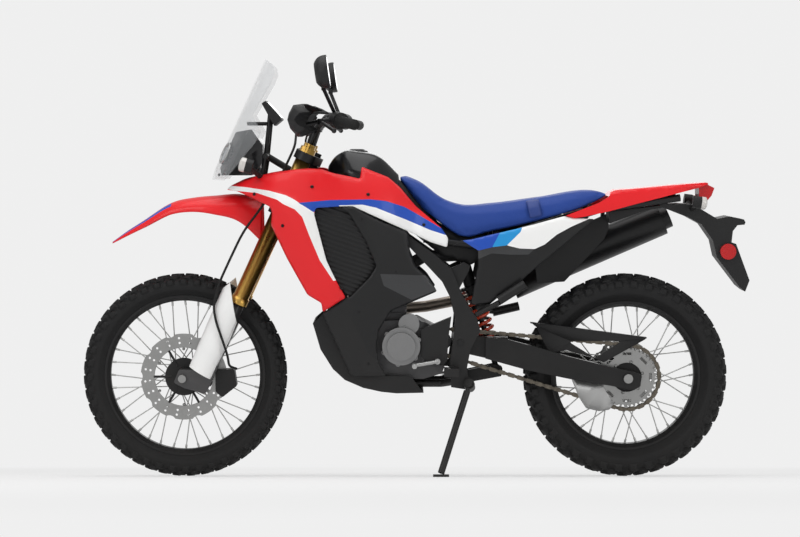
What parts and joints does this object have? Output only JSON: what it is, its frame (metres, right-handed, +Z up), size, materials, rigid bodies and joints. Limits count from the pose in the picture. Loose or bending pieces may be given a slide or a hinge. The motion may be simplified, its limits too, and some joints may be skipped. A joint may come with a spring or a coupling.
{
  "type": "dual sport motorcycle",
  "caption": "Dual sport motorcycle with rally fairing and tall screen, leaning on its side stand.",
  "frame": {"origin": "on the floor, under the middle of the bike's bounding box", "axes": "+X towards the rear along the bike, +Y to the rider's right, +Z up; the bike leans 8 degrees to its left on its side stand"},
  "size_m": [2.1976, 0.9043, 1.4235],
  "materials": {
    "red_paint": "gloss",
    "tank_black": "satin",
    "frame_black": "satin",
    "black_plastic": "matte",
    "clear_screen": "gloss",
    "lamp_lens": "gloss",
    "red_lens": "gloss",
    "amber_lens": "gloss",
    "white_plastic": "gloss",
    "seat_cover": "matte",
    "alloy": "satin",
    "black_alloy": "satin",
    "gold_alloy": "satin",
    "engine_alloy": "satin",
    "steel": "satin",
    "chain_steel": "satin",
    "spring_red": "gloss",
    "muffler_steel": "satin",
    "tyre_rubber": "matte",
    "grip_rubber": "matte"
  },
  "bodies": {
    "frame": {"main_frame": "frame_black", "swingarm_pivot": "steel", "subframe": "frame_black", "engine_case": "engine_alloy", "cylinder": "engine_alloy", "engine_covers": "engine_alloy", "sprocket_cover": "black_plastic", "swingarm": "black_alloy", "rear_axle": "steel", "chain": "chain_steel", "chain_guard": "black_plastic", "rear_shock": "black_alloy", "shock_spring": "spring_red", "shock_linkage": "black_alloy", "rear_caliper": "black_alloy", "footpegs": "frame_black", "foot_controls": "steel", "radiator": "black_alloy", "exhaust_pipe": "steel", "muffler": "muffler_steel", "muffler_guard": "black_plastic", "airbox": "black_plastic", "fuel_tank": "tank_black", "side_fairings": "red_paint", "lower_cowls": "black_plastic", "skid_plate": "black_plastic", "side_covers": "white_plastic", "tail_cowl": "red_paint", "rear_fender": "black_plastic", "tail_light": "red_lens", "turn_signals": "amber_lens", "windscreen": "clear_screen", "headlight": "lamp_lens", "fairing_stay": "frame_black", "meter": "black_plastic", "seat": "seat_cover"},
    "steering": {"steering_clamps": "black_alloy", "fork_tubes": "gold_alloy", "fork_sliders": "steel", "fork_guards": "white_plastic", "front_axle": "steel", "handlebar": "black_alloy", "grips": "grip_rubber", "switches": "black_plastic", "levers": "black_alloy", "hand_guards": "black_plastic", "mirrors": "black_plastic", "front_fender": "red_paint", "front_caliper": "black_alloy", "brake_hose": "grip_rubber"},
    "front_wheel": {"front_tyre": "tyre_rubber", "front_rim": "black_alloy", "front_hub": "black_alloy", "front_disc": "steel"},
    "rear_wheel": {"rear_tyre": "tyre_rubber", "rear_rim": "black_alloy", "rear_hub": "black_alloy", "rear_sprocket": "steel", "rear_disc": "steel"},
    "side_stand": {"side_stand": "frame_black"}
  },
  "joints": [
    {"name": "steering_turn", "type": "hinge", "parent": "frame", "child": "steering", "pos_m": [-0.37218, 0.04793, 0.95182], "axis": [0.4163, -0.1265, 0.9004], "range_deg": [-42, 42]},
    {"name": "front_wheel_spin", "type": "hinge", "parent": "steering", "child": "front_wheel", "pos_m": [-0.75868, 0.13466, 0.33471], "axis": [0, 0.9903, 0.1392], "continuous": true},
    {"name": "rear_wheel_spin", "type": "hinge", "parent": "frame", "child": "rear_wheel", "pos_m": [0.69632, 0.13466, 0.33471], "axis": [0, 0.9903, 0.1392], "continuous": true},
    {"name": "side_stand_fold", "type": "hinge", "parent": "frame", "child": "side_stand", "pos_m": [0.17682, -0.01166, 0.29799], "axis": [-0.1335, -0.9601, 0.2457], "range_deg": [0, 120.8]}
  ]
}
